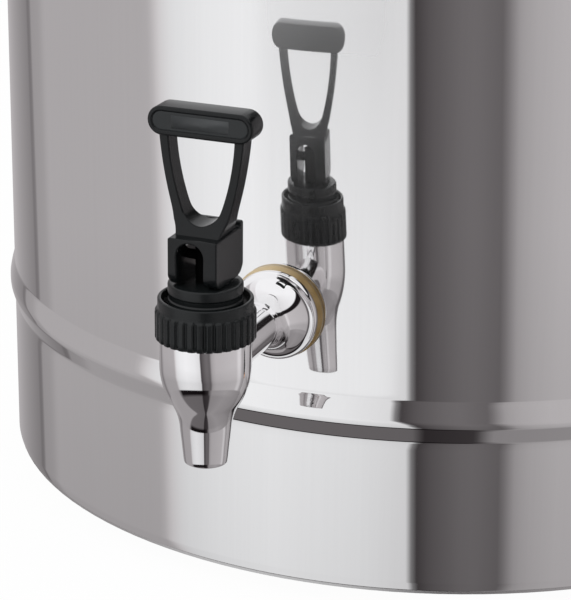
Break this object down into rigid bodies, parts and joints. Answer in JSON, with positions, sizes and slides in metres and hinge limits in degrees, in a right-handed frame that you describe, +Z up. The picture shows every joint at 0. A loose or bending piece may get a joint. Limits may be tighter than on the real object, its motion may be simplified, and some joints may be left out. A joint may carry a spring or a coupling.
{
  "type": "hot water urn",
  "caption": "Upright stainless drum with a raised bead, side handles, a lift-off lid, a skirt with its control and a lever tap whose D-shaped handle tilts to pour.",
  "frame": {"origin": "on the drum's axis at the level of the feet", "axes": "+Z up along the drum, -Y out through the tap towards the user, +X to the right of a person facing the tap"},
  "size_m": [0.4, 0.4066, 0.4111],
  "materials": {
    "polished_steel": "polished",
    "floor_steel": "satin",
    "plate_steel": "satin",
    "element_steel": "dull",
    "fastener_steel": "satin",
    "chrome": "polished",
    "brass_nut": "satin",
    "black_plastic": "gloss",
    "dark_plastic": "matt",
    "regulator_case": "matt",
    "amber_lens": "clear",
    "foot_rubber": "matt",
    "seat_rubber": "matt",
    "tan_rubber": "matt"
  },
  "bodies": {
    "urn": {"body_shell": "polished_steel", "tank_floor": "floor_steel", "base_plate": "plate_steel", "feet": "foot_rubber", "heating_element": "element_steel", "element_clamp": "plate_steel", "clamp_stud": "fastener_steel", "clamp_nut": "fastener_steel", "boil_dry_cutout": "dark_plastic", "energy_regulator": "regulator_case", "pilot_lamp_lens": "amber_lens", "pilot_lamp_body": "dark_plastic", "cord_gland": "black_plastic", "gland_cap_nut": "black_plastic", "terminal_block": "regulator_case", "side_handle_left": "black_plastic", "side_handle_right": "black_plastic", "tap_body": "chrome", "tap_washer": "tan_rubber", "tap_backnut": "brass_nut", "collar_nut": "black_plastic", "bonnet": "black_plastic", "return_spring": "fastener_steel"},
    "lid": {"lid": "polished_steel", "lid_knob": "black_plastic"},
    "tap_stem": {"valve_stem": "black_plastic", "seat_cup": "seat_rubber", "lever_pin": "fastener_steel"},
    "tap_lever": {"lever": "black_plastic", "grip_insert": "black_plastic"},
    "control_knob": {"control_knob": "black_plastic", "regulator_shaft": "fastener_steel"}
  },
  "joints": [
    {"name": "stem_lift", "type": "slide", "parent": "urn", "child": "tap_stem", "axis": [0, 0, 1], "range_m": [0, 0.003], "deforming": ["return_spring"]},
    {"name": "lever_tilt", "type": "hinge", "parent": "tap_stem", "child": "tap_lever", "pos_m": [0, -0.2183, 0.1391], "axis": [1, 0, 0], "range_deg": [0, 30], "stiffness_Nm_per_rad": 0.05, "springref_deg": -51.57},
    {"name": "lid_lift", "type": "slide", "parent": "urn", "child": "lid", "axis": [0, 0, 1], "range_m": [0, 0.2]},
    {"name": "control_turn", "type": "hinge", "parent": "urn", "child": "control_knob", "pos_m": [0.13856, -0.08, 0.042], "axis": [0.866, -0.5, 0], "range_deg": [-270, 0]}
  ],
  "couplings": [
    {"joint": "stem_lift", "follows": "lever_tilt", "m_per_rad": 0.0057}
  ]
}
